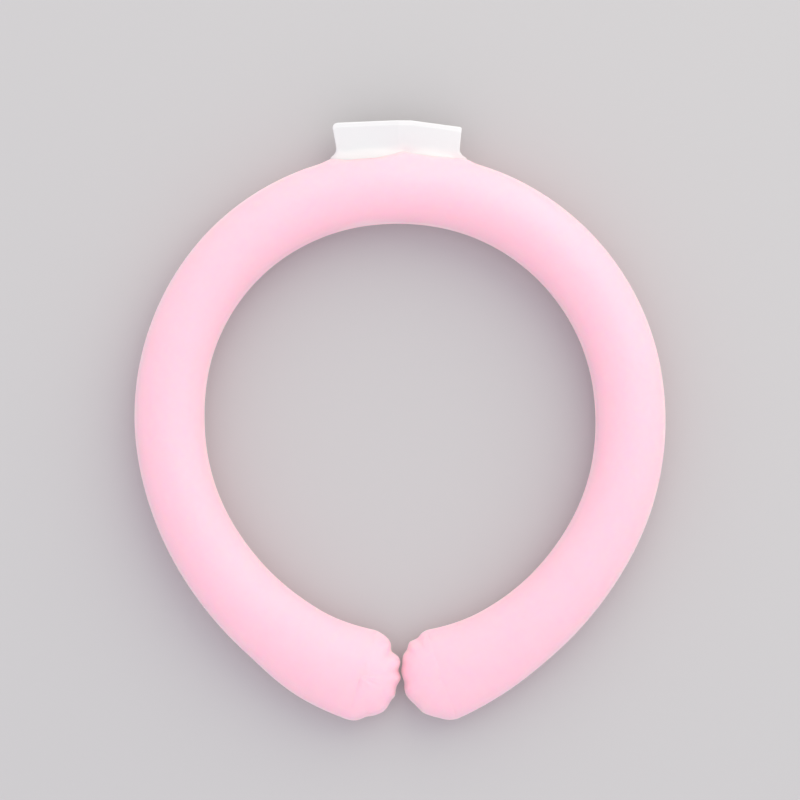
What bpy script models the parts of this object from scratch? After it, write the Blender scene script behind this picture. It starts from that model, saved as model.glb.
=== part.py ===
"""A cooling neck ring, lying flat: a C-shaped tube of soft film full of gel, whose two flattened and welded
ends meet at the front, and a white film tab at the nape.

Metres, +Z up. The nape is towards +Y and the two ends meet towards -Y. The origin is under the middle of the
whole ring, on the surface that it lies on.
"""

import math

import bmesh
import bpy
from mathutils import Vector

# The tube
LOOP_RADIUS = 0.0759      # from the middle of the neck opening to the middle of the tube
TUBE_DIAMETER = 0.0232
SIDES = 24                # round the tube, with the lowest two flattened into the strip that it lies on
STATIONS = 73             # along the tube, an odd number so that one is at the nape

# The two ends, where the film is flattened towards its weld
END_WIDTH = 0.0306        # across the widest line of an end, seen from above
END_HEIGHT = 0.0174
END_REACH = 0.0848        # from the middle of the neck opening to the middle of that widest line
END_ROUNDING = 0.0129     # how far an end is rounded past its widest line
END_SQUARENESS = 1.88     # 2 is an ellipse, and less is more pointed
END_GAP = 0.0001          # across, from the left rim's furthest pucker to the right rim's, which don't meet
END_GAP_SHIFT = 0.00025   # of the gap from the ring's middle, towards the right end
PUCKER_DEPTH = 0.0010     # how far the welded rim is drawn in or bulges out at a pucker
END_STEPS = 45            # round each end

# The tab
TAB_WIDTH = 0.0404        # at its neck
TAB_LENGTH = 0.0108       # past the tube, at the middle
TAB_THICKNESS = 0.0010
TAB_SHIFT = -0.0006       # of its middle from the ring's middle
TAB_FLARE = 0.0032        # how far its root spreads along the tube on each side
TAB_LEAN_LEFT = 0.0013    # how far its sides lean out to the free edge
TAB_LEAN_RIGHT = 0.0005
TAB_FOLD_HEIGHT = 0.0014  # how far it is raised along its middle fold
TAB_CORNER_LEFT = 0.0019
TAB_CORNER_RIGHT = 0.0007
CLEARANCE = 0.0003        # between the tab and the tube

# The run of the tube, a row for each section. way is -1 at the left end, 0 at the nape and 1 at the right.
# spread is 0 at LOOP_RADIUS and 1 at END_REACH. flattening is 0 for the round tube and 1 for the end's own
# width and height.
RUN = (
    # way, spread, flattening
    (-1.00, 1.00, 1.05),
    (-0.94, 0.76, 0.76),
    (-0.87, 0.40, 0.35),
    (-0.76, 0.10, 0.08),
    (-0.64, -0.01, -0.06),
    (-0.52, 0.01, -0.01),
    (-0.40, 0.10, -0.06),
    (-0.25, 0.17, -0.03),
    (-0.13, 0.14, 0.01),
    (0.00, 0.06, 0.00),
    (0.13, 0.08, 0.02),
    (0.25, 0.07, 0.01),
    (0.40, 0.03, 0.00),
    (0.52, -0.01, -0.01),
    (0.64, 0.04, -0.03),
    (0.76, 0.16, 0.04),
    (0.87, 0.44, 0.27),
    (0.94, 0.73, 0.62),
    (1.00, 1.00, 1.06),
)

# The puckers of each welded rim. turn is in degrees from the end's own direction, positive away from the
# neck. lift is a share of PUCKER_DEPTH, positive where the film bulges out and negative where it is drawn in,
# and breadth is half the pucker's width in degrees.
LEFT_PUCKERS = (
    # turn, lift, breadth
    (-70, 0.15, 8),
    (-54, -1.20, 7),
    (-36, 0.55, 8),
    (-24, -0.45, 6),
    (-12, 0.50, 6),
    (2, -0.25, 7),
    (15, 0.45, 6),
    (39, 0.85, 13),
    (66, -0.60, 8),
)
RIGHT_PUCKERS = (
    # turn, lift, breadth
    (-75, -0.60, 6),
    (-62, 0.72, 6),
    (-43, 0.72, 9),
    (-24, 0.40, 8),
    (-7, -0.40, 7),
    (5, 0.60, 40),
    (12, 0.45, 12),
    (44, 0.40, 9),
    (67, -0.25, 8),
)
PUCKER_FADE = 4           # the power with which a pucker fades from the rim to the middle of the end
PUCKER_FURROW = 0.35      # depth of a pucker's furrow in the film, as a share of PUCKER_DEPTH

# The free edge of the tab. across is -1 at its left corner and 1 at its right, and drop is a share of
# TAB_LENGTH.
TAB_EDGE = (
    # across, drop
    (-1.00, 0.07),
    (-0.10, 0.00),
    (0.20, 0.00),
    (1.00, 0.20),
)
TAB_COLUMNS = 28
TAB_ROWS = 8
TAB_ROW_SPREAD = 1.6      # the power that brings the rows closer together at the root
TAB_FLARE_FADE = 9        # the power with which the flare ends above the root
TAB_ROOT_FOLD = 0.35      # of the fold's height, where the tab meets the tube
CORNER_SEGMENTS = 5
BOTTOM = 3 * SIDES // 4   # the lowest point of a section, counted round it from its outer point
TOP = SIDES // 4


def clear_scene():
    for thing in list(bpy.data.objects):
        bpy.data.objects.remove(thing, do_unlink=True)


def film_material(name, colour, roughness):
    material = bpy.data.materials.new(name)
    material.use_nodes = True
    shader = material.node_tree.nodes["Principled BSDF"]
    shader.inputs["Base Color"].default_value = (*colour, 1.0)
    shader.inputs["Roughness"].default_value = roughness
    shader.inputs["Metallic"].default_value = 0.0
    return material


def smooth_between(rows, column, at):
    """The value of a table's column at a place between its rows, on a smooth curve through them."""
    last = len(rows) - 1
    first = max(i for i in range(last) if rows[i][0] <= at or i == 0)

    def slope(i):
        before, after = rows[max(i - 1, 0)], rows[min(i + 1, last)]
        return (after[column] - before[column]) / (after[0] - before[0])

    start, end = rows[first], rows[first + 1]
    span = end[0] - start[0]
    t = (at - start[0]) / span
    return (
        (2 * t**3 - 3 * t**2 + 1) * start[column]
        + (t**3 - 2 * t**2 + t) * span * slope(first)
        + (3 * t**2 - 2 * t**3) * end[column]
        + (t**3 - t**2) * span * slope(first + 1)
    )


def straight_between(rows, at):
    """The second column of a table at a place between its rows, on straight lines."""
    for (x0, y0), (x1, y1) in zip(rows, rows[1:]):
        if at <= x1:
            return y0 + (y1 - y0) * max(at - x0, 0) / (x1 - x0)
    return rows[-1][1]


def half_width(way):
    return (TUBE_DIAMETER + (END_WIDTH - TUBE_DIAMETER) * smooth_between(RUN, 2, way)) / 2


def half_height(way):
    return (TUBE_DIAMETER + (END_HEIGHT - TUBE_DIAMETER) * smooth_between(RUN, 2, way)) / 2


def flat_drop(way):
    """How far the flat strip underneath lies below the middle of the section."""
    return half_height(way) * math.cos(math.tau / SIDES)


def centre_at(way, turns):
    """The middle of the tube in plan, where turns holds the left and right ends' angles from the nape."""
    reach = LOOP_RADIUS + (END_REACH - LOOP_RADIUS) * smooth_between(RUN, 1, way)
    angle = way * (turns[0] if way < 0 else turns[1])
    return Vector((math.sin(angle), math.cos(angle), 0)) * reach


def along_at(way, turns):
    """The direction of the tube in plan, from the left end towards the right one."""
    small = 0.002
    before, after = max(way - small, -1), min(way + small, 1)
    return (centre_at(after, turns) - centre_at(before, turns)).normalized()


def outward_at(way, turns):
    along = along_at(way, turns)
    return Vector((-along.y, along.x, 0))


def pucker_at(puckers, degrees):
    """How far the rim stands out or in, as a share of PUCKER_DEPTH, fading out where it meets the tube."""
    lift = sum(row[1] * math.exp(-(((degrees - row[0]) / row[2]) ** 2)) for row in puckers)
    return lift * (1 - (degrees / 90) ** 8)


def rim_at(side, degrees):
    """From the middle of an end's widest line to its smooth rim, at an angle from the end's own direction."""
    angle = math.radians(degrees)
    lengthwise = abs(math.cos(angle)) / END_ROUNDING
    crosswise = abs(math.sin(angle)) / half_width(side)
    return (lengthwise**END_SQUARENESS + crosswise**END_SQUARENESS) ** (-1 / END_SQUARENESS)


def direction_at(side, turns, degrees):
    """A direction in plan, turned from an end's own direction away from the neck."""
    forward = along_at(side, turns) * side
    angle = math.radians(degrees)
    return forward * math.cos(angle) + outward_at(side, turns) * math.sin(angle)


def rim_place(side, turns, puckers, degrees):
    """A point of an end's puckered rim in plan. side is -1 on the left and 1 on the right."""
    reach = rim_at(side, degrees) + PUCKER_DEPTH * pucker_at(puckers, degrees)
    return centre_at(side, turns) + direction_at(side, turns, degrees) * reach


def end_turns():
    """The angles from the nape to the ends' middles that leave END_GAP between the two rims."""
    degrees = [180 * step / END_STEPS - 90 for step in range(END_STEPS + 1)]
    turns = [math.radians(170), math.radians(170)]
    for _ in range(12):
        left = max(rim_place(-1, turns, LEFT_PUCKERS, d).x for d in degrees)
        right = min(rim_place(1, turns, RIGHT_PUCKERS, d).x for d in degrees)
        turns[0] += (END_GAP_SHIFT - END_GAP / 2 - left) / END_REACH
        turns[1] += (right - END_GAP_SHIFT - END_GAP / 2) / END_REACH
    return turns


def round_point(number):
    """The place of a point on a round section, as shares of its half width and half height."""
    angle = math.tau * number / SIDES
    return math.cos(angle), math.sin(angle)


def section_places(way, turns):
    """A whole section of the tube, counted from its outer point over the top, with its flat strip at z 0."""
    centre, outward = centre_at(way, turns), outward_at(way, turns)
    drop = flat_drop(way)
    places = []
    for number in range(SIDES):
        share, rise = round_point(number)
        place = centre + outward * (share * half_width(way))
        place.z = max(rise * half_height(way), -drop) + drop
        places.append(place)
    return places


def end_places(side, turns, puckers, degrees):
    """A half section through an end, from its lowest point over the rim to its top."""
    centre, direction = centre_at(side, turns), direction_at(side, turns, degrees)
    lift = pucker_at(puckers, degrees)
    drop = flat_drop(side)
    places = []
    for number in range(BOTTOM, BOTTOM + SIDES // 2 + 1):
        share, rise = round_point(number)
        reach = share * rim_at(side, degrees) + PUCKER_DEPTH * lift * share**PUCKER_FADE
        furrow = PUCKER_FURROW * PUCKER_DEPTH * min(lift, 0) * share**2 * abs(rise)
        height = math.copysign(abs(rise * half_height(side)) + furrow, rise)
        place = centre + direction * reach
        place.z = max(height, -drop) + drop
        places.append(place)
    return places


def grow(mesh, points, places):
    """Extrudes a chain of points, or a closed ring of them, and moves the new ones to their places."""
    chain = zip(points, points[1:] + points[:1])
    edges = [edge for edge in (mesh.edges.get(pair) for pair in chain) if edge]
    made = bmesh.ops.extrude_edge_only(mesh, edges=edges)["geom"]
    new = {item for item in made if isinstance(item, bmesh.types.BMVert)}
    grown = []
    for point, place in zip(points, places):
        follower = next(edge.other_vert(point) for edge in point.link_edges if edge.other_vert(point) in new)
        follower.co = place
        grown.append(follower)
    return grown


def add_end(mesh, section, side, turns, puckers):
    """Rounds an end off from the tube's last section, from its neck side round to its outer side."""
    half = [section[number % SIDES] for number in range(TOP, BOTTOM + 1)]
    chain = list(reversed(half))
    for step in range(1, END_STEPS + 1):
        degrees = 180 * step / END_STEPS - 90
        chain = grow(mesh, chain, end_places(side, turns, puckers, degrees))


def finish_object(name, mesh, material):
    """Turns a bmesh into a named object, smooth except where its faces meet sharply."""
    bmesh.ops.recalc_face_normals(mesh, faces=mesh.faces)
    data = bpy.data.meshes.new(name)
    mesh.to_mesh(data)
    mesh.free()
    data.shade_smooth()
    data.set_sharp_from_angle(angle=math.radians(50))
    data.materials.append(material)
    thing = bpy.data.objects.new(name, data)
    bpy.context.scene.collection.objects.link(thing)
    return thing


def make_tube(turns):
    """The film tube with its gel: sections from the left end over the nape to the right, and both ends."""
    mesh = bmesh.new()
    ring = bmesh.ops.create_circle(mesh, segments=SIDES, radius=TUBE_DIAMETER / 2)["verts"]
    ways = [2 * station / (STATIONS - 1) - 1 for station in range(STATIONS)]
    for point, place in zip(ring, section_places(ways[0], turns)):
        point.co = place
    first = section = list(ring)
    for way in ways[1:]:
        section = grow(mesh, section, section_places(way, turns))
    add_end(mesh, first, -1, turns, LEFT_PUCKERS)
    add_end(mesh, section, 1, turns, RIGHT_PUCKERS)
    bmesh.ops.remove_doubles(mesh, verts=mesh.verts, dist=1e-6)
    return finish_object("cooling_tube", mesh, film_material("pink_film", (0.96, 0.62, 0.76), 0.45))


def tab_side(across):
    """How far out of the tab's own middle a column is, at the neck and at the free edge."""
    neck = across * TAB_WIDTH / 2
    lean = TAB_LEAN_RIGHT if across > 0 else TAB_LEAN_LEFT
    return neck, neck + across * lean


def tab_place(across, out, turns):
    """A point of the tab's lower face. across runs from -1 to 1, and out from 0 at the tube to 1 outside."""
    neck, edge = tab_side(across)
    flare = math.copysign(TAB_FLARE * abs(across) ** 6, across)
    nape_reach = centre_at(0, turns).length + half_width(0)
    angle = math.asin((TAB_SHIFT + neck + flare) / nape_reach)
    way = angle / (turns[0] if angle < 0 else turns[1])
    root = centre_at(way, turns) + outward_at(way, turns) * (half_width(way) + CLEARANCE)
    x = TAB_SHIFT + neck + (edge - neck) * out + flare * (1 - out) ** TAB_FLARE_FADE
    top = nape_reach + TAB_LENGTH * (1 - straight_between(TAB_EDGE, across))
    y = root.y + (top - root.y) * out
    fold = TAB_FOLD_HEIGHT * (1 - abs(across)) * (TAB_ROOT_FOLD + (1 - TAB_ROOT_FOLD) * out)
    return Vector((x if out > 0 else root.x, y, flat_drop(0) - TAB_THICKNESS / 2 + fold))


def round_corner(mesh, corner, radius):
    """Rounds the tab's upright edge that is nearest to a place."""
    upright = [e for e in mesh.edges if abs(e.verts[0].co.z - e.verts[1].co.z) > TAB_THICKNESS / 2]
    edge = min(upright, key=lambda e: ((e.verts[0].co + e.verts[1].co) / 2 - corner).length)
    bmesh.ops.bevel(
        mesh,
        geom=[edge],
        offset=radius,
        affect="EDGES",
        segments=CORNER_SEGMENTS,
        profile=0.5,
        material=-1,
    )


def make_tab(turns):
    """The white film tab, a folded plate whose root follows the outside of the tube."""
    mesh = bmesh.new()
    bmesh.ops.create_grid(mesh, x_segments=TAB_COLUMNS, y_segments=TAB_ROWS, size=1)
    for point in mesh.verts:
        point.co = tab_place(point.co.x, ((point.co.y + 1) / 2) ** TAB_ROW_SPREAD, turns)
    upper = bmesh.ops.extrude_face_region(mesh, geom=mesh.faces[:])["geom"]
    for point in (item for item in upper if isinstance(item, bmesh.types.BMVert)):
        point.co.z += TAB_THICKNESS
    for across, radius in ((-1, TAB_CORNER_LEFT), (1, TAB_CORNER_RIGHT)):
        round_corner(mesh, tab_place(across, 1, turns), radius)
    return finish_object("nape_tab", mesh, film_material("white_film", (0.90, 0.90, 0.90), 0.50))


def put_origin_underneath(things):
    """Moves the meshes together until the origin is under the middle of the whole ring."""
    corners = [point.co for thing in things for point in thing.data.vertices]
    middle = Vector(
        (
            (min(c.x for c in corners) + max(c.x for c in corners)) / 2,
            (min(c.y for c in corners) + max(c.y for c in corners)) / 2,
            min(c.z for c in corners),
        )
    )
    for thing in things:
        for point in thing.data.vertices:
            point.co -= middle


def main():
    clear_scene()
    turns = end_turns()
    put_origin_underneath([make_tube(turns), make_tab(turns)])


main()
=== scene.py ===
"""Dresses the solids of a cooling neck ring: the film tube with its weld and its two puckered ends, the
white film tab at the nape, and a plain studio seen from straight above.

Metres, +Z up. The nape is towards +Y and the two ends meet towards -Y.
"""

import math

import bmesh
import bpy
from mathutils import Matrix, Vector, noise


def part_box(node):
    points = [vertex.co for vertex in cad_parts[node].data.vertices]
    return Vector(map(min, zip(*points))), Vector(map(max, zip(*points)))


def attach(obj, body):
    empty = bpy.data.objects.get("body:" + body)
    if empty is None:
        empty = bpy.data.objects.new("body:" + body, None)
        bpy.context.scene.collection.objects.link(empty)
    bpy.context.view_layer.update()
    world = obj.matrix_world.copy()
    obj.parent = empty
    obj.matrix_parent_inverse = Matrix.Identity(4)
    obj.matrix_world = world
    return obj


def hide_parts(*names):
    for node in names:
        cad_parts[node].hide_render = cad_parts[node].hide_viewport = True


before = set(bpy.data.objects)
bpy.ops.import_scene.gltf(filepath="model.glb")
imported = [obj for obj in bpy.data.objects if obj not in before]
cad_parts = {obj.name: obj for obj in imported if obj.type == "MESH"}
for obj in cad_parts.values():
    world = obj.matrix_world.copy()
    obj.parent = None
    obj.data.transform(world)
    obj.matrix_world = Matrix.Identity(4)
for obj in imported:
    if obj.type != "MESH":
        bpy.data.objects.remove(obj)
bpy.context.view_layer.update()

bl_info = {
    "name": "Cooling neck ring",
    "version": (1, 0, 0),
    "blender": (4, 5, 0),
    "location": "3D View > Sidebar > Neck Ring",
    "description": "Builds the film tube and the tab of a cooling neck ring, and a plain studio",
    "category": "Mesh",
}

# The run of the tube, a row for each section. way is -1 at the left end, 0 at the nape and 1 at the right.
# spread is 0 at the loop's radius and 1 at the ends' reach. flattening is 0 for the round tube and 1 for the
# width and height of an end.
RUN = (
    # way, spread, flattening
    (-1.00, 1.00, 1.05),
    (-0.94, 0.76, 0.76),
    (-0.87, 0.40, 0.35),
    (-0.76, 0.10, 0.08),
    (-0.64, -0.01, -0.06),
    (-0.52, 0.01, -0.01),
    (-0.40, 0.10, -0.06),
    (-0.25, 0.17, -0.03),
    (-0.13, 0.14, 0.01),
    (0.00, 0.06, 0.00),
    (0.13, 0.08, 0.02),
    (0.25, 0.07, 0.01),
    (0.40, 0.03, 0.00),
    (0.52, -0.01, -0.01),
    (0.64, 0.04, -0.03),
    (0.76, 0.16, 0.04),
    (0.87, 0.44, 0.27),
    (0.94, 0.73, 0.62),
    (1.00, 1.00, 1.06),
)

# The puckers of each welded rim. turn is in degrees from the end's own direction, positive away from the
# neck. lift is a share of the puckers' depth, positive where the film bulges out and negative where it is
# drawn in, and breadth is half the pucker's width in degrees.
LEFT_PUCKERS = (
    # turn, lift, breadth
    (-70, 0.15, 8),
    (-54, -1.20, 7),
    (-36, 0.55, 8),
    (-24, -0.45, 6),
    (-12, 0.50, 6),
    (2, -0.25, 7),
    (15, 0.45, 6),
    (39, 0.85, 13),
    (66, -0.60, 8),
)
RIGHT_PUCKERS = (
    # turn, lift, breadth
    (-75, -0.60, 6),
    (-62, 0.72, 6),
    (-43, 0.72, 9),
    (-24, 0.40, 8),
    (-7, -0.40, 7),
    (5, 0.60, 40),
    (12, 0.45, 12),
    (44, 0.40, 9),
    (67, -0.25, 8),
)

# Where the tab pulls the tube's film out of its round. across is -1 at the tab's left side and 1 at its
# right. pull is a share of the highest pull, and breadth is half its width as a share of half the tab.
TAB_PULLS = (
    # across, pull, breadth
    (-1.08, 0.95, 0.12),
    (0.08, 1.00, 0.14),
    (0.42, 0.32, 0.32),
    (0.84, 0.40, 0.08),
    (1.07, 1.00, 0.12),
)

# How high the tab's film climbs the side of the tube. lap is a share of the highest.
TAB_LAPS = (
    # across, lap
    (-1.00, 0.00),
    (-0.93, 0.50),
    (-0.80, 0.86),
    (-0.60, 0.96),
    (-0.37, 1.00),
    (-0.16, 0.50),
    (0.09, 0.02),
    (0.25, 0.14),
    (0.45, 0.40),
    (0.65, 0.38),
    (0.85, 0.10),
    (1.00, 0.00),
)

# The free edge of the tab. drop is a share of the tab's length.
TAB_EDGE = (
    # across, drop
    (-1.00, 0.07),
    (-0.10, 0.00),
    (0.20, 0.00),
    (1.00, 0.20),
)

# Half a section of the tube, from its lowest point over its edge to its top. Angles are from the edge, and
# proud is a share of the weld's height.
WELD_POINTS = ((-1.7, 0.0), (-1.2, 0.8), (0.0, 1.0), (1.2, 0.8), (1.7, 0.0))
QUARTER_STEPS = 12          # from the top of a section down to its edge
QUARTER = [90 * number / QUARTER_STEPS for number in range(QUARTER_STEPS, 0, -1)]
HALF = (
    [(-angle, 0.0) for angle in QUARTER]
    + list(WELD_POINTS)
    + [(angle, 0.0) for angle in reversed(QUARTER)]
)
FLAT_ANGLE = 15             # degrees from straight down that the flat strip underneath reaches
STATIONS = 241              # sections along the tube
END_STEPS = 120             # sections round each end
PUCKER_FADE = 4             # the power with which a pucker fades from the rim to the middle of the end
RIM_FADE = 8                # the power with which the puckers fade where the rim meets the tube
PULL_FADE = 12              # the power with which a pull fades above and below the tube's edge
NAPE_WAY = 0.25             # the way from the nape beyond which the tab pulls nothing
HELD_ANGLE = 2              # degrees from an end's edge, up to which the weld holds the settling film
SLACK_START = 0.88          # the way from which the film is free to settle
MERGE_DISTANCE = 0.000001   # between points that are made one

# How the gap between the two rims is found, and where the plan of the whole tube is measured
END_TURN_START = 170        # degrees from the nape to an end, before the first try
GAP_TRIES = 12              # each of them turns the two ends nearer to their places
GAP_DEGREES = range(-90, 91, 3)
PLAN_DEGREES = range(-90, 91, 4)
PLAN_WAYS = [number / 60 for number in range(-60, 61)]

# The film settles as a cloth that is this many times as large, where the solver's pressure and weights work
SETTLE_SCALE = 100
SETTLE_FRAMES = 20
SETTLE_SPARE = 0.12         # how much longer the free film is than it is modelled, so that it wrinkles
SETTLE_LIMIT = 0.0009       # how far a point of the film may move

# The tab
TAB_COLUMNS = 96
TAB_FLARE_HEIGHT = 0.0033   # how far out from the tube the tab's root is flared
TAB_FLARE_POWER = 6         # the power with which the flare fades from the tab's sides to its middle
TAB_FLARE_THINNING = 1.5    # how far inwards the flare thins out, as a share of its own spread
TAB_ROOT_PARTS = 12         # the tab's root leaves the tube's curve within one of so many parts of its length
TAB_ROOT_FOLD = 0.35        # of the fold's height, where the tab meets the tube
FILLET_STEPS = 8
FILLET_BEND = (0.1, 1.3)    # the middle of the fillet's curve: shares of its length and of half the thickness
FLAT_STEPS = 10             # between the fillet and the sealed band
BAND_SLOPE = 0.0003         # how long the slope down into the sealed band is
EDGE_DEGREES = (0, 35, 65)  # where the rounded free edge has its points
RIPPLE_SIZE = 0.011         # between the soft ripples of the tab's film
RIPPLE_LAYER = 0.37         # where the noise that makes them is cut
LAP_RISE = 0.00004          # how far the lap's upper side lies over the tube's film
LAP_EDGE = 0.0004           # how long the slope is in which the lap's edge sinks into the tube's film
LAP_BACK = 0.0003           # how far the lap's back is sunk into the tube's film
LAP_LEVELS = (-1, -0.5, 0, 0.5, 1)  # of the points of the lap's back, as shares of its height
LAP_BLUSH = 0.0015          # how far from the lap the tube's film is paler
LAP_PALENESS = 0.7          # how pale it is there, where 1 is the weld's own paleness
LAP_FADE = 8                # the power with which that paleness fades at the tab's sides
ROOT_GEL = 0.15             # how much the gel shows through the tab's root, where 1 is its lap's edge


def length(name, description, default):
    return bpy.props.FloatProperty(
        name=name, description=description, default=default, min=0.0, precision=4, unit="LENGTH"
    )


def share(name, description, default):
    return bpy.props.FloatProperty(
        name=name, description=description, default=default, min=0.0, max=1.0, subtype="FACTOR"
    )


def colour(name, description, default):
    return bpy.props.FloatVectorProperty(
        name=name, description=description, default=default, min=0.0, max=1.0, size=3, subtype="COLOR"
    )


class RingSizes(bpy.types.PropertyGroup):
    """Sizes of the film tube and of its two ends."""

    loop_radius: length("Loop radius", "From the neck opening's middle to the tube's middle", 0.0759)
    tube_diameter: length("Tube diameter", "Thickness of the full tube", 0.0232)
    end_width: length("End width", "Across the widest line of an end", 0.0306)
    end_height: length("End height", "Thickness of an end at its widest line", 0.0174)
    end_reach: length("End reach", "From the neck opening's middle to an end's widest line", 0.0848)
    end_rounding: length("End rounding", "How far an end is rounded past its widest line", 0.0129)
    end_squareness: bpy.props.FloatProperty(
        name="End squareness", description="2 is an ellipse, and less is more pointed", default=1.88, min=1.0
    )
    end_gap: length("End gap", "Across, between the furthest puckers of the two rims", 0.0001)
    end_gap_shift: length("End gap shift", "Of the gap from the middle, towards the right end", 0.00025)
    pucker_depth: length("Pucker depth", "How far the welded rim is drawn in or bulges out", 0.0010)
    weld_height: length("Weld height", "How far the weld stands out of the film", 0.0003)


class TabSizes(bpy.types.PropertyGroup):
    """Sizes of the white film tab at the nape."""

    width: length("Width", "Across the tab's neck", 0.0398)
    reach: length("Length", "Past the tube, at the middle", 0.0108)
    thickness: length("Thickness", "Of the two layers of film together", 0.0007)
    left_shift: length("Shift", "Of the tab's middle from the ring's, to the left", 0.0006)
    flare: length("Flare", "How far the root spreads along the tube on each side", 0.0025)
    lean_left: length("Left lean", "How far the left side leans out to the free edge", 0.0021)
    lean_right: length("Right lean", "How far the right side leans out to the free edge", 0.0010)
    fold_height: length("Fold height", "How far the tab is raised along its middle fold", 0.0014)
    corner_left: length("Left corner", "Radius of the left free corner", 0.0019)
    corner_right: length("Right corner", "Radius of the right free corner", 0.0007)
    band_width: length("Sealed band", "Width of the band that is pressed flat at the free edge", 0.0016)
    band_depth: length("Band depth", "How far the sealed band is pressed in", 0.00007)
    fillet: length("Fillet", "How far out the tab's root is thickened", 0.0026)
    lap: length("Lap", "How high its film climbs the side of the tube at most", 0.0042)
    pull: length("Pull", "How far it pulls the tube's film out at most", 0.0010)
    ripple: length("Ripple", "Height of the soft ripples in its film", 0.00012)


class FilmFinish(bpy.types.PropertyGroup):
    """Colours and gloss of the films."""

    pink: colour("Pink film", "Film of the tube, with the gel behind it", (1.0, 0.56, 0.665))
    pale_pink: colour("Pale pink", "The same film where it is stretched or welded", (1.0, 0.65, 0.715))
    white: colour("White film", "Film of the tab", (0.705, 0.72, 0.74))
    bright_white: colour("Bright white", "The same film where it is pressed", (0.75, 0.765, 0.785))
    blush: colour("Blush", "The tab's film where the gel shows through its lap", (0.90, 0.60, 0.66))
    pink_roughness: share("Pink roughness", "Roughness of the tube's film", 0.5)
    white_roughness: share("White roughness", "Roughness of the tab's film", 0.42)
    sheen: share("Sheen", "Pale edge that the tube's film has where it is seen at a slant", 0.4)
    glow_depth: length("Glow depth", "How far red light spreads in the gel", 0.008)
    glow: share("Glow", "Share of the light that goes into the gel", 0.75)


class StudioSetup(bpy.types.PropertyGroup):
    """Floor, light and camera."""

    floor: colour("Floor", "Colour of the floor", (0.51, 0.51, 0.525))
    floor_size: length("Floor size", "Side of the square floor", 6.0)
    key_power: bpy.props.FloatProperty(
        name="Key power", description="Of the large soft light", default=12.6, min=0.0, unit="POWER"
    )
    key_tone: colour("Key tone", "Colour of the large soft light", (1.0, 0.985, 0.755))
    key_reach: length("Key distance", "From the ring to the large soft light", 1.5)
    key_size: length("Key size", "Across the large soft light, which is round", 2.0)
    key_rise: bpy.props.FloatProperty(
        name="Key rise",
        description="Of the large soft light over the floor",
        default=math.radians(32),
        subtype="ANGLE",
        unit="ROTATION",
    )
    key_turn: bpy.props.FloatProperty(
        name="Key turn",
        description="Of the large soft light from the nape towards the right side",
        default=math.radians(31),
        subtype="ANGLE",
        unit="ROTATION",
    )
    sky: bpy.props.FloatProperty(name="Sky", description="Strength of the even light", default=1.07, min=0.0)
    sky_tone: colour("Sky tone", "Colour of the even light", (0.99, 0.965, 1.0))
    camera_height: length("Camera height", "Of the camera above the floor", 1.2)
    camera_shift: length("Camera shift", "Of the camera from the ring's middle towards the nape", 0.0069)
    frame_width: length("Frame width", "Across the picture, at the height of the weld", 0.2634)


def smooth_between(rows, column, at):
    """The value of a table's column at a place between its rows, on a smooth curve through them."""
    last = len(rows) - 1
    first = max(i for i in range(last) if rows[i][0] <= at or i == 0)

    def slope(i):
        before, after = rows[max(i - 1, 0)], rows[min(i + 1, last)]
        return (after[column] - before[column]) / (after[0] - before[0])

    start, end = rows[first], rows[first + 1]
    span = end[0] - start[0]
    t = (at - start[0]) / span
    return (
        (2 * t**3 - 3 * t**2 + 1) * start[column]
        + (t**3 - 2 * t**2 + t) * span * slope(first)
        + (3 * t**2 - 2 * t**3) * end[column]
        + (t**3 - t**2) * span * slope(first + 1)
    )


def straight_between(rows, at):
    """The second column of a table at a place between its rows, on straight lines."""
    for (x0, y0), (x1, y1) in zip(rows, rows[1:]):
        if at <= x1:
            return y0 + (y1 - y0) * max(at - x0, 0) / (x1 - x0)
    return rows[-1][1]


def bumps_at(rows, at):
    """The sum of a table's rounded bumps at a place. Its columns are place, height and breadth."""
    return sum(height * math.exp(-(((at - place) / breadth) ** 2)) for place, height, breadth in rows)


def half_width(ring, way):
    round_width = ring.tube_diameter
    return (round_width + (ring.end_width - round_width) * smooth_between(RUN, 2, way)) / 2


def half_height(ring, way):
    round_height = ring.tube_diameter
    return (round_height + (ring.end_height - round_height) * smooth_between(RUN, 2, way)) / 2


def flat_drop(ring, way):
    """How far the flat strip underneath lies below the middle of the section."""
    return half_height(ring, way) * math.cos(math.radians(FLAT_ANGLE))


def centre_at(ring, turns, way):
    """The middle of the tube in plan, where turns holds the left and right ends' angles from the nape."""
    reach = ring.loop_radius + (ring.end_reach - ring.loop_radius) * smooth_between(RUN, 1, way)
    angle = way * (turns[0] if way < 0 else turns[1])
    return Vector((math.sin(angle), math.cos(angle), 0)) * reach


def along_at(ring, turns, way):
    """The direction of the tube in plan, from the left end towards the right one."""
    small = 0.002
    before, after = max(way - small, -1), min(way + small, 1)
    return (centre_at(ring, turns, after) - centre_at(ring, turns, before)).normalized()


def outward_at(ring, turns, way):
    along = along_at(ring, turns, way)
    return Vector((-along.y, along.x, 0))


def pucker_at(puckers, degrees):
    """How far the rim stands out or in, as a share of the depth, fading out where it meets the tube."""
    return bumps_at(puckers, degrees) * (1 - (degrees / 90) ** RIM_FADE)


def rim_at(ring, side, degrees):
    """From the middle of an end's widest line to its smooth rim, at an angle from the end's own direction."""
    angle = math.radians(degrees)
    lengthwise = abs(math.cos(angle)) / ring.end_rounding
    crosswise = abs(math.sin(angle)) / half_width(ring, side)
    power = ring.end_squareness
    return (lengthwise**power + crosswise**power) ** (-1 / power)


def direction_at(ring, turns, side, degrees):
    """A direction in plan, turned from an end's own direction away from the neck."""
    forward = along_at(ring, turns, side) * side
    angle = math.radians(degrees)
    return forward * math.cos(angle) + outward_at(ring, turns, side) * math.sin(angle)


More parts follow.
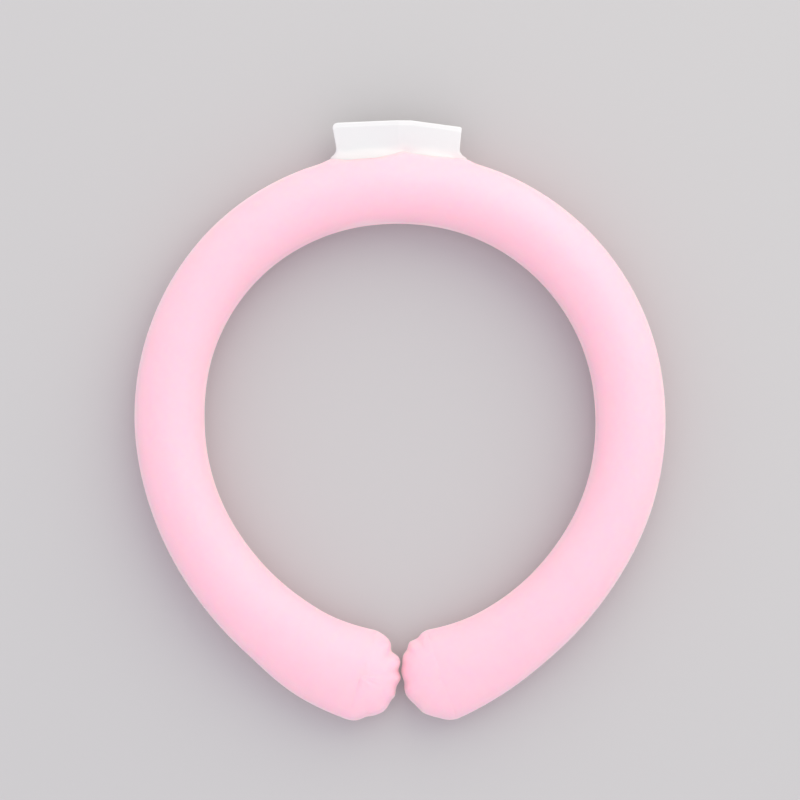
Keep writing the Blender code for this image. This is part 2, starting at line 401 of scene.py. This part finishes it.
def rim_place(ring, turns, side, puckers, degrees):
    """A point of an end's puckered rim in plan. side is -1 on the left and 1 on the right."""
    reach = rim_at(ring, side, degrees) + ring.pucker_depth * pucker_at(puckers, degrees)
    return centre_at(ring, turns, side) + direction_at(ring, turns, side, degrees) * reach


def end_turns(ring):
    """The angles from the nape to the ends' middles that leave the gap between the two rims."""
    turns = [math.radians(END_TURN_START)] * 2
    for _ in range(GAP_TRIES):
        left = max(rim_place(ring, turns, -1, LEFT_PUCKERS, degrees).x for degrees in GAP_DEGREES)
        right = min(rim_place(ring, turns, 1, RIGHT_PUCKERS, degrees).x for degrees in GAP_DEGREES)
        turns[0] += (ring.end_gap_shift - ring.end_gap / 2 - left) / ring.end_reach
        turns[1] += (right - ring.end_gap_shift - ring.end_gap / 2) / ring.end_reach
    return turns


def frame_shift(ring, turns):
    """How far the ring's own middle lies from that of the solid that the tube stands for."""
    plan = []
    for way in PLAN_WAYS:
        centre, outward = centre_at(ring, turns, way), outward_at(ring, turns, way)
        plan += [centre + outward * half_width(ring, way), centre - outward * half_width(ring, way)]
    for side, puckers in ((-1, LEFT_PUCKERS), (1, RIGHT_PUCKERS)):
        plan += [rim_place(ring, turns, side, puckers, degrees) for degrees in PLAN_DEGREES]
    low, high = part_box("cooling_tube")
    return Vector(
        (
            (low[0] + high[0] - min(p.x for p in plan) - max(p.x for p in plan)) / 2,
            (low[1] + high[1] - min(p.y for p in plan) - max(p.y for p in plan)) / 2,
            0,
        )
    )


def nape_reach(ring, turns):
    """From the middle of the neck opening to the outside of the tube at the nape."""
    return centre_at(ring, turns, 0).length + half_width(ring, 0)


def pull_at(tab, x):
    """How far the tab pulls the tube's film out, at a place across the nape."""
    return tab.pull * bumps_at(TAB_PULLS, (x + tab.left_shift) / (tab.width / 2))


def half_section(ring, way, centre, direction, width, lift=0.0, pull=0.0):
    """Half a section on one side of the tube, from its lowest point over its edge to its top."""
    height, drop = half_height(ring, way), flat_drop(ring, way)
    places = []
    for degrees, proud in HALF:
        out, rise = math.cos(math.radians(degrees)), math.sin(math.radians(degrees))
        reach = out * (width - ring.weld_height) + ring.weld_height * proud
        reach += ring.pucker_depth * lift * out**PUCKER_FADE + pull * out**PULL_FADE
        place = centre + direction * reach
        place.z = max(rise * height, -drop) + drop
        places.append(place)
    return places


def whole_section(ring, tab, turns, way):
    """A whole section of the tube, from its lowest point over its outer edge and back over its inner one."""
    centre, outward = centre_at(ring, turns, way), outward_at(ring, turns, way)
    width = half_width(ring, way)
    pull = pull_at(tab, (centre + outward * width).x) if abs(way) < NAPE_WAY else 0.0
    outer = half_section(ring, way, centre, outward, width, pull=pull)
    inner = half_section(ring, way, centre, -outward, width)
    return outer + inner[-2:0:-1]


def grow(mesh, points, places):
    """Extrudes a chain of points, or a closed ring of them, and moves the new ones to their places."""
    chain = zip(points, points[1:] + points[:1])
    edges = [edge for edge in (mesh.edges.get(pair) for pair in chain) if edge]
    made = bmesh.ops.extrude_edge_only(mesh, edges=edges)["geom"]
    new = {item for item in made if isinstance(item, bmesh.types.BMVert)}
    grown = []
    for point, place in zip(points, places):
        follower = next(edge.other_vert(point) for edge in point.link_edges if edge.other_vert(point) in new)
        follower.co = place
        grown.append(follower)
    return grown


def add_end(mesh, section, ring, turns, side, puckers):
    """Rounds an end off from the tube's last section, from its neck side round to its outer side."""
    top = len(HALF) - 1
    chain = [section[0]] + section[:top:-1] + [section[top]]
    slack = mesh.verts.layers.float["slack"]
    for point, (degrees, _) in zip(chain, HALF):
        point[slack] = float(abs(degrees) > HELD_ANGLE)
    centre = centre_at(ring, turns, side)
    for step in range(1, END_STEPS + 1):
        degrees = 180 * step / END_STEPS - 90
        direction = direction_at(ring, turns, side, degrees)
        width, lift = rim_at(ring, side, degrees), pucker_at(puckers, degrees)
        chain = grow(mesh, chain, half_section(ring, side, centre, direction, width, lift=lift))


def paleness(ring, tab, point, proud):
    """How pale the tube's film is at a point: palest on its weld, and a little beside the tab's lap."""
    across = (point.x + tab.left_shift) / (tab.width / 2)
    if abs(across) > 1 or point.y < 0 or proud > 0:
        return proud
    beside = abs(point.z - flat_drop(ring, 0)) - lap_at(tab, across)
    return LAP_PALENESS * max(1 - max(beside, 0) / LAP_BLUSH, 0) * (1 - across**LAP_FADE)


def film_mesh(ring, tab):
    """The tube's film: sections from the left end over the nape to the right one, and both ends."""
    turns = end_turns(ring)
    mesh = bmesh.new()
    weld = mesh.verts.layers.float.new("weld")
    pale = mesh.verts.layers.float.new("pale")
    slack = mesh.verts.layers.float.new("slack")
    sides = 2 * len(HALF) - 2
    section = list(bmesh.ops.create_circle(mesh, segments=sides, radius=ring.tube_diameter / 2)["verts"])
    prouds = [proud for _, proud in HALF]
    for point, place, proud in zip(section, whole_section(ring, tab, turns, -1), prouds + prouds[-2:0:-1]):
        point.co = place
        point[weld] = proud
    first = section
    for station in range(1, STATIONS):
        way = 2 * station / (STATIONS - 1) - 1
        section = grow(mesh, section, whole_section(ring, tab, turns, way))
        for point in section:
            point[slack] = 0.0 if point[weld] > 0 else max(abs(way) - SLACK_START, 0) / (1 - SLACK_START)
    add_end(mesh, first, ring, turns, -1, LEFT_PUCKERS)
    add_end(mesh, section, ring, turns, 1, RIGHT_PUCKERS)
    for point in mesh.verts:
        point[pale] = paleness(ring, tab, point.co, point[weld])
    bmesh.ops.remove_doubles(mesh, verts=mesh.verts, dist=MERGE_DISTANCE)
    bmesh.ops.translate(mesh, vec=frame_shift(ring, turns), verts=mesh.verts)
    return mesh


def flare_at(out):
    """The share of the flare that is left at a distance from the tube, on a hollow curve."""
    return max(1 - max(out, 0) / TAB_FLARE_HEIGHT, 0) ** 2


def tab_plan(ring, tab, turns, across, out):
    """A place of the tab in plan, its root on the tube, and the way that the tube faces there.

    across runs from -1 to 1, and out is 0 at the tube and 1 at the free edge."""
    neck = across * tab.width / 2
    lean = tab.lean_right if across > 0 else tab.lean_left
    flare = math.copysign(tab.flare * abs(across) ** TAB_FLARE_POWER, across)
    reach = nape_reach(ring, turns)
    angle = math.asin((neck + flare - tab.left_shift) / reach)
    way = angle / (turns[0] if angle < 0 else turns[1])
    outward = outward_at(ring, turns, way)
    root = centre_at(ring, turns, way) + outward * half_width(ring, way)
    root += outward * pull_at(tab, root.x)
    x = neck - tab.left_shift + across * lean * out + flare * flare_at(out * tab.reach)
    top = reach + tab.reach * (1 - straight_between(TAB_EDGE, across))
    sideways = (x - root.x) * min(out * TAB_ROOT_PARTS, 1)
    place = Vector((root.x + sideways, root.y + (top - root.y) * out, 0))
    return place, root, outward


def flank_at(ring, pull, height):
    """How far out from the weld's tip the tube's film lies, at a height over or under it. It is below 0."""
    radius = ring.tube_diameter / 2
    narrowing = math.sqrt(1 - (height / radius) ** 2)
    drawn_in = pull * (1 - narrowing**PULL_FADE)
    return (narrowing - 1) * (radius - ring.weld_height) - ring.weld_height - drawn_in


def lap_at(tab, across):
    """How high over its middle layer the tab's film reaches at a place across the tab."""
    return tab.thickness / 2 + tab.lap * max(smooth_between(TAB_LAPS, 1, across), 0)


def corner_cut(tab, across):
    """How far the free edge is cut back at a place across the tab, by its rounded corners."""
    radius = tab.corner_right if across > 0 else tab.corner_left
    inwards = (1 - abs(across)) * tab.width / 2
    if inwards >= radius:
        return 0.0
    return radius - math.sqrt(radius**2 - (radius - inwards) ** 2)


def tab_profile(tab, across, edge, flank):
    """A side of the tab's film at a place across it: how far out of the tube, how high over its middle layer,
    how much the gel shows through it, and whether it is pressed into the sealed band. flank tells how far
    out the tube's film lies at a height."""
    half = tab.thickness / 2
    pressed = half - tab.band_depth
    lap = lap_at(tab, across)
    start = flank(lap) + LAP_RISE
    sunk = flank(lap + LAP_EDGE) - LAP_RISE
    rows = [(sunk - LAP_BACK, lap + 2 * LAP_EDGE, 1, 0), (sunk, lap + LAP_EDGE, 1, 0)]
    bend_out, bend_height = FILLET_BEND[0] * tab.fillet, FILLET_BEND[1] * half
    for step in range(FILLET_STEPS + 1):
        t = step / FILLET_STEPS
        out = (1 - t) ** 2 * start + 2 * t * (1 - t) * bend_out + t**2 * tab.fillet
        height = (1 - t) ** 2 * lap + 2 * t * (1 - t) * bend_height + t**2 * half
        rows.append((out, height, ROOT_GEL * (1 - t**2), 0))
    band = edge - tab.band_width
    for step in range(1, FLAT_STEPS + 1):
        rows.append((tab.fillet + (band - tab.fillet) * step / FLAT_STEPS, half, 0, 0))
    rows.append((band + BAND_SLOPE / 2, half - tab.band_depth / 2, 0, 0.5))
    rows.append((band + BAND_SLOPE, pressed, 0, 1))
    rows.append((edge - tab.band_width / 2, pressed, 0, 1))
    for degrees in EDGE_DEGREES:
        angle = math.radians(degrees)
        rows.append((edge - pressed + pressed * math.sin(angle), pressed * math.cos(angle), 0, 1))
    return rows


def tab_loop(ring, tab, across, edge, pull, raised):
    """A closed section of the tab's film, in rows like those of tab_profile: its upper side out to the free
    edge, its lower side back again, and its back, sunk into the tube. raised is how far the fold lifts it."""
    upper = tab_profile(tab, across, edge, lambda height: flank_at(ring, pull, height + raised))
    lower = tab_profile(tab, across, edge, lambda height: flank_at(ring, pull, height - raised))
    tip = (edge, 0.0, 0, 1)
    under = [(out, -height, gel, band) for out, height, gel, band in reversed(lower)]
    levels = [lap_at(tab, across) * level for level in LAP_LEVELS]
    back = [(flank_at(ring, pull, level + raised) - LAP_BACK, level, 1, 0) for level in levels]
    return [*upper, tip, *under, *back]


def ripple_at(tab, place, way_out):
    """How far the tab's film waves up or down at a place. It is calm at the tube."""
    wave = noise.noise(Vector((place.x, place.y, RIPPLE_LAYER)) / RIPPLE_SIZE)
    return wave * tab.ripple * min(way_out * 2, 1)


def tab_section(ring, tab, turns, across):
    """A section of the tab at a place across it. Returns its places, how much the gel shows through at each,
    and how much each is in the sealed band."""
    _, root, outward = tab_plan(ring, tab, turns, across, 0)
    free, _, _ = tab_plan(ring, tab, turns, across, 1)
    span = (free - root).length
    edge = span - corner_cut(tab, across)
    fold = tab.fold_height * (1 - abs(across))
    loop = tab_loop(ring, tab, across, edge, pull_at(tab, root.x), fold * TAB_ROOT_FOLD)
    inwards = (1 - abs(across)) * tab.width / 2
    places = []
    for out, height, _, _ in loop:
        way_out = max(out / span, 0)
        place = tab_plan(ring, tab, turns, across, way_out)[0] if out > 0 else root + outward * out
        rounding = tab.thickness / 2 + TAB_FLARE_THINNING * tab.flare * flare_at(out)
        closing = math.sqrt(1 - (1 - min(inwards / rounding, 1)) ** 2)
        rise = fold * (TAB_ROOT_FOLD + (1 - TAB_ROOT_FOLD) * way_out)
        place.z = flat_drop(ring, 0) + rise + ripple_at(tab, place, way_out) + height * closing
        places.append(place)
    return places, [row[2] for row in loop], [row[3] for row in loop]


def tab_mesh(ring, tab):
    """The white tab: sections from its left side to its right one, which thin out and close at its sides."""
    turns = end_turns(ring)
    mesh = bmesh.new()
    gel, band = mesh.verts.layers.float.new("gel"), mesh.verts.layers.float.new("band")
    start = tab_section(ring, tab, turns, -1)
    section = list(bmesh.ops.create_circle(mesh, segments=len(start[0]), radius=tab.width / 2)["verts"])
    for point, place, gel_share, band_share in zip(section, *start):
        point.co = place
        point[gel], point[band] = gel_share, band_share
    for column in range(1, TAB_COLUMNS + 1):
        even = 2 * column / TAB_COLUMNS - 1
        closer_at_sides = even * (3 - even**2) / 2
        places, _, _ = tab_section(ring, tab, turns, closer_at_sides)
        section = grow(mesh, section, places)
    bmesh.ops.remove_doubles(mesh, verts=mesh.verts, dist=MERGE_DISTANCE)
    bmesh.ops.dissolve_degenerate(mesh, dist=MERGE_DISTANCE, edges=mesh.edges)
    bmesh.ops.translate(mesh, vec=frame_shift(ring, turns), verts=mesh.verts)
    return mesh


def add_piece(name, mesh, material, levels):
    """Turns a bmesh into a smooth object of the scene, with its faces out."""
    bmesh.ops.recalc_face_normals(mesh, faces=mesh.faces)
    data = bpy.data.meshes.new(name)
    mesh.to_mesh(data)
    mesh.free()
    data.shade_smooth()
    data.materials.append(material)
    piece = bpy.data.objects.new(name, data)
    bpy.context.scene.collection.objects.link(piece)
    finer = piece.modifiers.new("finer", "SUBSURF")
    finer.levels = levels
    finer.render_levels = levels
    return piece


def settle_film(piece):
    """Lets the film of the two ends settle between its weld and the full tube, under the gel's pressure."""
    scene = bpy.context.scene
    cut = piece.data.copy()
    film = bpy.data.objects.new("settling_film", cut)
    scene.collection.objects.link(film)
    held, spare = film.vertex_groups.new(name="held"), film.vertex_groups.new(name="spare")
    start = [point.co.copy() for point in cut.vertices]
    for point, slack in zip(cut.vertices, piece.data.attributes["slack"].data):
        held.add([point.index], 1 - slack.value, "REPLACE")
        spare.add([point.index], slack.value, "REPLACE")
        point.co *= SETTLE_SCALE
    cloth = film.modifiers.new("cloth", "CLOTH")
    settings = cloth.settings
    settings.quality = 6
    settings.mass = 0.02
    settings.tension_stiffness = settings.compression_stiffness = 40
    settings.shear_stiffness = 20
    settings.bending_stiffness = 0.5
    settings.use_pressure = True
    settings.uniform_pressure_force = 4
    settings.vertex_group_mass = "held"
    settings.vertex_group_shrink = "spare"
    settings.shrink_min = 0
    settings.shrink_max = -SETTLE_SPARE
    settings.effector_weights.gravity = 0
    cloth.collision_settings.use_collision = False
    cloth.point_cache.frame_end = SETTLE_FRAMES
    for number in range(1, SETTLE_FRAMES + 1):
        scene.frame_set(number)
    settled = film.evaluated_get(bpy.context.evaluated_depsgraph_get()).data.vertices
    moves = [after.co / SETTLE_SCALE - before for before, after in zip(start, settled)]
    for point, place, move in zip(piece.data.vertices, start, moves):
        limit = min(1, SETTLE_LIMIT / max(move.length, 1e-9))
        point.co = place + move * limit
        point.co.z = max(point.co.z, 0)
    bpy.data.objects.remove(film, do_unlink=True)
    bpy.data.meshes.remove(cut)
    scene.frame_set(1)


def new_group(name, inputs, outputs):
    """A shader node group with named sockets. Returns it with its input and output nodes."""
    group = bpy.data.node_groups.new(name, "ShaderNodeTree")
    for socket, kind, value in inputs:
        group.interface.new_socket(name=socket, in_out="INPUT", socket_type=kind).default_value = value
    for socket, kind in outputs:
        group.interface.new_socket(name=socket, in_out="OUTPUT", socket_type=kind)
    return group, group.nodes.new("NodeGroupInput"), group.nodes.new("NodeGroupOutput")


def add_node(tree, kind, values=None, **settings):
    """Adds a node with its settings, and with values for its named or numbered sockets."""
    node = tree.nodes.new(kind)
    for setting, value in settings.items():
        setattr(node, setting, value)
    for socket, value in (values or {}).items():
        node.inputs[socket].default_value = value
    return node


def film_grain_group():
    """Fine grain and soft handling marks of a film: its roughness and the height of its surface."""
    group, given, made = new_group(
        "film_grain",
        (
            ("Vector", "NodeSocketVector", (0, 0, 0)),
            ("Grain Scale", "NodeSocketFloat", 2600.0),
            ("Mark Scale", "NodeSocketFloat", 60.0),
            ("Roughness", "NodeSocketFloat", 0.45),
            ("Roughness Change", "NodeSocketFloat", 0.12),
        ),
        (("Roughness", "NodeSocketFloat"), ("Height", "NodeSocketFloat")),
    )
    tree, link = group, group.links.new
    grain = add_node(tree, "ShaderNodeTexNoise", {"Detail": 3.0, "Roughness": 0.55})
    marks = add_node(tree, "ShaderNodeTexNoise", {"Detail": 4.0, "Roughness": 0.6, "Distortion": 0.4})
    link(given.outputs["Vector"], grain.inputs["Vector"])
    link(given.outputs["Grain Scale"], grain.inputs["Scale"])
    link(given.outputs["Vector"], marks.inputs["Vector"])
    link(given.outputs["Mark Scale"], marks.inputs["Scale"])
    centred = add_node(tree, "ShaderNodeMath", {1: 0.5}, operation="SUBTRACT")
    scaled = add_node(tree, "ShaderNodeMath", operation="MULTIPLY")
    total = add_node(tree, "ShaderNodeMath", operation="ADD", use_clamp=True)
    link(marks.outputs["Fac"], centred.inputs[0])
    link(centred.outputs[0], scaled.inputs[0])
    link(given.outputs["Roughness Change"], scaled.inputs[1])
    link(scaled.outputs[0], total.inputs[0])
    link(given.outputs["Roughness"], total.inputs[1])
    waves = add_node(tree, "ShaderNodeMath", {1: 0.6}, operation="MULTIPLY")
    height = add_node(tree, "ShaderNodeMath", operation="ADD")
    link(marks.outputs["Fac"], waves.inputs[0])
    link(waves.outputs[0], height.inputs[0])
    link(grain.outputs["Fac"], height.inputs[1])
    link(total.outputs[0], made.inputs["Roughness"])
    link(height.outputs[0], made.inputs["Height"])
    return group


def film_tone_group():
    """Colour of a film: soft clouds between its own colour and a paler one, and paler where a mask says."""
    group, given, made = new_group(
        "film_tone",
        (
            ("Vector", "NodeSocketVector", (0, 0, 0)),
            ("Scale", "NodeSocketFloat", 40.0),
            ("Colour", "NodeSocketColor", (1, 1, 1, 1)),
            ("Pale Colour", "NodeSocketColor", (1, 1, 1, 1)),
            ("Clouds", "NodeSocketFloat", 0.2),
            ("Mask", "NodeSocketFloat", 0.0),
        ),
        (("Colour", "NodeSocketColor"),),
    )
    tree, link = group, group.links.new
    clouds = add_node(tree, "ShaderNodeTexNoise", {"Detail": 3.0, "Roughness": 0.5, "Distortion": 0.6})
    soft = add_node(tree, "ShaderNodeMapRange", {"From Min": 0.35, "From Max": 0.65})
    amount = add_node(tree, "ShaderNodeMath", operation="MULTIPLY")
    total = add_node(tree, "ShaderNodeMath", operation="ADD", use_clamp=True)
    mix = add_node(tree, "ShaderNodeMix", data_type="RGBA")
    link(given.outputs["Vector"], clouds.inputs["Vector"])
    link(given.outputs["Scale"], clouds.inputs["Scale"])
    link(clouds.outputs["Fac"], soft.inputs["Value"])
    link(soft.outputs["Result"], amount.inputs[0])
    link(given.outputs["Clouds"], amount.inputs[1])
    link(amount.outputs[0], total.inputs[0])
    link(given.outputs["Mask"], total.inputs[1])
    link(total.outputs[0], mix.inputs["Factor"])
    link(given.outputs["Colour"], mix.inputs["A"])
    link(given.outputs["Pale Colour"], mix.inputs["B"])
    link(mix.outputs["Result"], made.inputs["Colour"])
    return group


def group_named(name, build):
    return bpy.data.node_groups.get(name) or build()


def film_material(name, tones, roughness, mask_name, bump, clouds):
    """A satin film with its grain, its clouds and a paler tone where the named attribute says."""
    material = bpy.data.materials.new(name)
    material.use_nodes = True
    tree, link = material.node_tree, material.node_tree.links.new
    shader = tree.nodes["Principled BSDF"]
    place = add_node(tree, "ShaderNodeTexCoord")
    mask = add_node(tree, "ShaderNodeAttribute", attribute_name=mask_name)
    tone = add_node(tree, "ShaderNodeGroup", node_tree=group_named("film_tone", film_tone_group))
    grain = add_node(tree, "ShaderNodeGroup", node_tree=group_named("film_grain", film_grain_group))
    relief = add_node(tree, "ShaderNodeBump", {"Strength": 0.5, "Distance": bump})
    tone.inputs["Colour"].default_value = (*tones[0], 1)
    tone.inputs["Pale Colour"].default_value = (*tones[1], 1)
    tone.inputs["Clouds"].default_value = clouds
    grain.inputs["Roughness"].default_value = roughness
    link(place.outputs["Object"], tone.inputs["Vector"])
    link(place.outputs["Object"], grain.inputs["Vector"])
    link(mask.outputs["Fac"], tone.inputs["Mask"])
    link(tone.outputs["Colour"], shader.inputs["Base Color"])
    link(grain.outputs["Roughness"], shader.inputs["Roughness"])
    link(grain.outputs["Height"], relief.inputs["Height"])
    link(relief.outputs["Normal"], shader.inputs["Normal"])
    shader.inputs["Metallic"].default_value = 0.0
    shader.inputs["IOR"].default_value = 1.45
    return material, shader


def pink_film(finish):
    tones = finish.pink, finish.pale_pink
    material, shader = film_material(
        "pink_film", tones, finish.pink_roughness, mask_name="pale", bump=0.00002, clouds=0.07
    )
    shader.inputs["Subsurface Weight"].default_value = finish.glow
    shader.inputs["Subsurface Radius"].default_value = (1.0, 0.35, 0.6)
    shader.inputs["Subsurface Scale"].default_value = finish.glow_depth
    shader.inputs["Specular IOR Level"].default_value = 0.4
    shader.inputs["Sheen Weight"].default_value = finish.sheen
    shader.inputs["Sheen Roughness"].default_value = 0.5
    return material


def white_film(finish):
    tones = finish.white, finish.bright_white
    material, shader = film_material(
        "white_film", tones, finish.white_roughness, mask_name="band", bump=0.00003, clouds=0.15
    )
    tree, link = material.node_tree, material.node_tree.links.new
    gel = add_node(tree, "ShaderNodeAttribute", attribute_name="gel")
    blush = add_node(tree, "ShaderNodeMix", {"B": (*finish.blush, 1)}, data_type="RGBA")
    link(gel.outputs["Fac"], blush.inputs["Factor"])
    link(shader.inputs["Base Color"].links[0].from_socket, blush.inputs["A"])
    link(blush.outputs["Result"], shader.inputs["Base Color"])
    shader.inputs["Subsurface Weight"].default_value = 0.3
    shader.inputs["Subsurface Radius"].default_value = (1.0, 1.0, 1.0)
    shader.inputs["Subsurface Scale"].default_value = 0.001
    return material


def studio_material(setup):
    """The floor's matt paper."""
    material = bpy.data.materials.new("studio_floor")
    material.use_nodes = True
    shader = material.node_tree.nodes["Principled BSDF"]
    shader.inputs["Base Color"].default_value = (*setup.floor, 1)
    shader.inputs["Roughness"].default_value = 0.9
    shader.inputs["Specular IOR Level"].default_value = 0.1
    return material


def add_key_light(setup, target):
    """A large soft light that shines on the target from a low side."""
    data = bpy.data.lights.new("key_light", "AREA")
    data.shape = "DISK"
    data.size = setup.key_size
    data.energy = setup.key_power
    data.color = setup.key_tone
    level = Vector((math.sin(setup.key_turn), math.cos(setup.key_turn), 0)) * math.cos(setup.key_rise)
    back = level + Vector((0, 0, math.sin(setup.key_rise)))
    light = bpy.data.objects.new("key_light", data)
    light.location = target + back * setup.key_reach
    light.rotation_euler = (-back).to_track_quat("-Z", "Y").to_euler()
    bpy.context.scene.collection.objects.link(light)


def add_sky(setup):
    """Even light from all sides."""
    world = bpy.data.worlds.new("studio_sky")
    world.use_nodes = True
    sky = world.node_tree.nodes["Background"]
    sky.inputs["Color"].default_value = (*setup.sky_tone, 1)
    sky.inputs["Strength"].default_value = setup.sky
    bpy.context.scene.world = world


def add_camera(setup, focus_height):
    """A camera straight above the ring, with the nape at the top of its picture."""
    data = bpy.data.cameras.new("camera")
    data.sensor_width = 36
    data.lens = data.sensor_width * (setup.camera_height - focus_height) / setup.frame_width
    data.clip_start, data.clip_end = 0.05, 20
    camera = bpy.data.objects.new("camera", data)
    camera.location = (0, setup.camera_shift, setup.camera_height)
    bpy.context.scene.collection.objects.link(camera)
    bpy.context.scene.camera = camera


def require_node(name):
    """Stops the operator with a plain message if the frame has no such solid."""
    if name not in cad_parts:
        raise RuntimeError("the packed frame has no solid named " + name)


class NECKRING_OT_film_tube(bpy.types.Operator):
    """Build the tube of pink film with its weld and its puckered ends."""

    bl_idname = "neck_ring.film_tube"
    bl_label = "Build film tube"

    def execute(self, context):
        require_node("cooling_tube")
        scene = context.scene
        mesh = film_mesh(scene.ring_sizes, scene.tab_sizes)
        piece = add_piece("film_tube", mesh, pink_film(scene.film_finish), levels=1)
        settle_film(piece)
        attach(piece, "root")
        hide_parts("cooling_tube")
        return {"FINISHED"}


class NECKRING_OT_welded_tab(bpy.types.Operator):
    """Build the white film tab at the nape, with its fold and its sealed band."""

    bl_idname = "neck_ring.welded_tab"
    bl_label = "Build welded tab"

    def execute(self, context):
        require_node("nape_tab")
        scene = context.scene
        mesh = tab_mesh(scene.ring_sizes, scene.tab_sizes)
        piece = add_piece("welded_tab", mesh, white_film(scene.film_finish), levels=1)
        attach(piece, "root")
        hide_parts("nape_tab")
        return {"FINISHED"}


class NECKRING_OT_studio(bpy.types.Operator):
    """Set the ring on a plain floor in soft light, under a camera straight above it."""

    bl_idname = "neck_ring.studio"
    bl_label = "Set up studio"

    def execute(self, context):
        scene = context.scene
        setup = scene.studio_setup
        mesh = bmesh.new()
        bmesh.ops.create_grid(mesh, x_segments=1, y_segments=1, size=setup.floor_size / 2)
        data = bpy.data.meshes.new("studio_floor")
        mesh.to_mesh(data)
        mesh.free()
        data.materials.append(studio_material(setup))
        floor = bpy.data.objects.new("studio_floor", data)
        scene.collection.objects.link(floor)
        weld_height = flat_drop(scene.ring_sizes, 0)
        add_key_light(setup, Vector((0, 0, weld_height)))
        add_sky(setup)
        add_camera(setup, weld_height)
        scene.view_settings.view_transform = "Standard"
        return {"FINISHED"}


class NECKRING_PT_sidebar(bpy.types.Panel):
    """Lists the ring's sizes and finishes, with a button for each piece."""

    bl_idname = "NECKRING_PT_sidebar"
    bl_label = "Cooling Neck Ring"
    bl_space_type = "VIEW_3D"
    bl_region_type = "UI"
    bl_category = "Neck Ring"

    def draw(self, context):
        for operator, groups in PANEL_ROWS:
            box = self.layout.box()
            for group_name in groups:
                group = getattr(context.scene, group_name)
                for name in group.__annotations__:
                    box.prop(group, name)
            box.operator(operator)


PANEL_ROWS = (
    ("neck_ring.film_tube", ("ring_sizes", "film_finish")),
    ("neck_ring.welded_tab", ("tab_sizes",)),
    ("neck_ring.studio", ("studio_setup",)),
)
PROPERTY_GROUPS = {
    "ring_sizes": RingSizes,
    "tab_sizes": TabSizes,
    "film_finish": FilmFinish,
    "studio_setup": StudioSetup,
}
CLASSES = (
    *PROPERTY_GROUPS.values(),
    NECKRING_OT_film_tube,
    NECKRING_OT_welded_tab,
    NECKRING_OT_studio,
    NECKRING_PT_sidebar,
)


def register():
    for item in CLASSES:
        bpy.utils.register_class(item)
    for name, group in PROPERTY_GROUPS.items():
        setattr(bpy.types.Scene, name, bpy.props.PointerProperty(type=group))


def unregister():
    for name in PROPERTY_GROUPS:
        delattr(bpy.types.Scene, name)
    for item in reversed(CLASSES):
        bpy.utils.unregister_class(item)


def main():
    register()
    bpy.ops.neck_ring.film_tube()
    bpy.ops.neck_ring.welded_tab()
    bpy.ops.neck_ring.studio()


if __name__ == "__main__":
    main()
